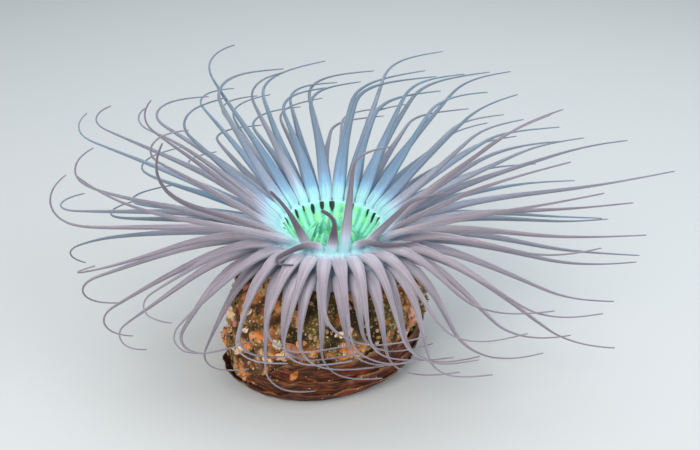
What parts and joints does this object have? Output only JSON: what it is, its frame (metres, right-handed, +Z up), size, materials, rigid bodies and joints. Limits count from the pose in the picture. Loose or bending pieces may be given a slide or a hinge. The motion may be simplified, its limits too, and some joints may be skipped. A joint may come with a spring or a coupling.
{
  "type": "tube anemone",
  "caption": "Still, life-size tube anemone: nested rings of long curved tentacles round a bowl-shaped oral disc, on a column inside a layered felt tube.",
  "frame": {"origin": "on the floor, straight below the middle of the oral disc", "axes": "+Z up; the current carries the tentacle tips along +X; the tentacles hang over the tube on the -Y side, which is the front"},
  "size_m": [0.3081, 0.2104, 0.1477],
  "materials": {
    "flesh": "soft moist flesh, lilac-grey, green in the disc",
    "tube": "rough layered felt with sand and algae"
  },
  "bodies": {
    "root": {"tube": "tube", "column": "flesh", "neck": "flesh", "oral_disc": "flesh", "lips": "flesh", "labial_tentacles_1": "flesh", "labial_tentacles_2": "flesh", "labial_tentacles_3": "flesh", "labial_tentacles_4": "flesh", "tentacles_outer_01": "flesh", "tentacles_outer_02": "flesh", "tentacles_outer_03": "flesh", "tentacles_outer_04": "flesh", "tentacles_outer_05": "flesh", "tentacles_outer_06": "flesh", "tentacles_outer_07": "flesh", "tentacles_outer_08": "flesh", "tentacles_outer_09": "flesh", "tentacles_outer_10": "flesh", "tentacles_middle_01": "flesh", "tentacles_middle_02": "flesh", "tentacles_middle_03": "flesh", "tentacles_middle_04": "flesh", "tentacles_middle_05": "flesh", "tentacles_middle_06": "flesh", "tentacles_middle_07": "flesh", "tentacles_middle_08": "flesh", "tentacles_middle_09": "flesh", "tentacles_inner_01": "flesh", "tentacles_inner_02": "flesh", "tentacles_inner_03": "flesh", "tentacles_inner_04": "flesh", "tentacles_inner_05": "flesh", "tentacles_inner_06": "flesh", "tentacles_inner_07": "flesh"}
  },
  "joints": []
}
